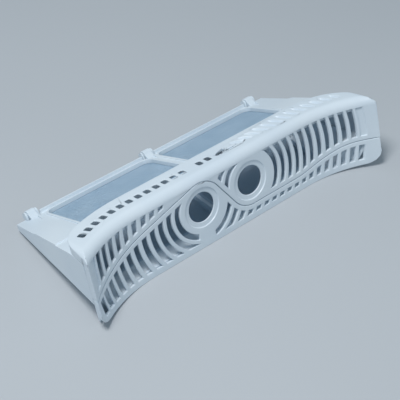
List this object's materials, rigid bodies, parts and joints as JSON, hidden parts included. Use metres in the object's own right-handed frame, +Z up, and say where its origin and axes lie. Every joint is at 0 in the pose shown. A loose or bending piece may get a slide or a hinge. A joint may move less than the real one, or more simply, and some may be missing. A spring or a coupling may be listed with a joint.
{
  "type": "tumble dryer filter",
  "caption": "Wedge-shaped lint pocket in two hinged halves, with fine mesh windows and a curved louvre grille split by an S-shaped seam round its finger holes.",
  "frame": {"origin": "under the middle of the closed filter, on the table it lies on", "axes": "+X along the grille to the right as seen from the front, +Y from the grille to the hinge, +Z up"},
  "size_m": [0.2594, 0.1248, 0.0553],
  "materials": {
    "white_plastic": "satin, cool white",
    "mesh": "fine woven mesh, pale grey-blue"
  },
  "bodies": {
    "lid": {"lid_frame": "white_plastic", "lower_grille": "white_plastic", "lower_mesh_left": "mesh", "lower_mesh_right": "mesh"},
    "body": {"body_frame": "white_plastic", "upper_grille": "white_plastic", "upper_mesh_left": "mesh", "upper_mesh_right": "mesh"}
  },
  "joints": [
    {"name": "pocket_hinge", "type": "hinge", "parent": "lid", "child": "body", "pos_m": [0, 0.05887, 0.00863], "axis": [-1, 0, 0], "range_deg": [0, 110]}
  ]
}
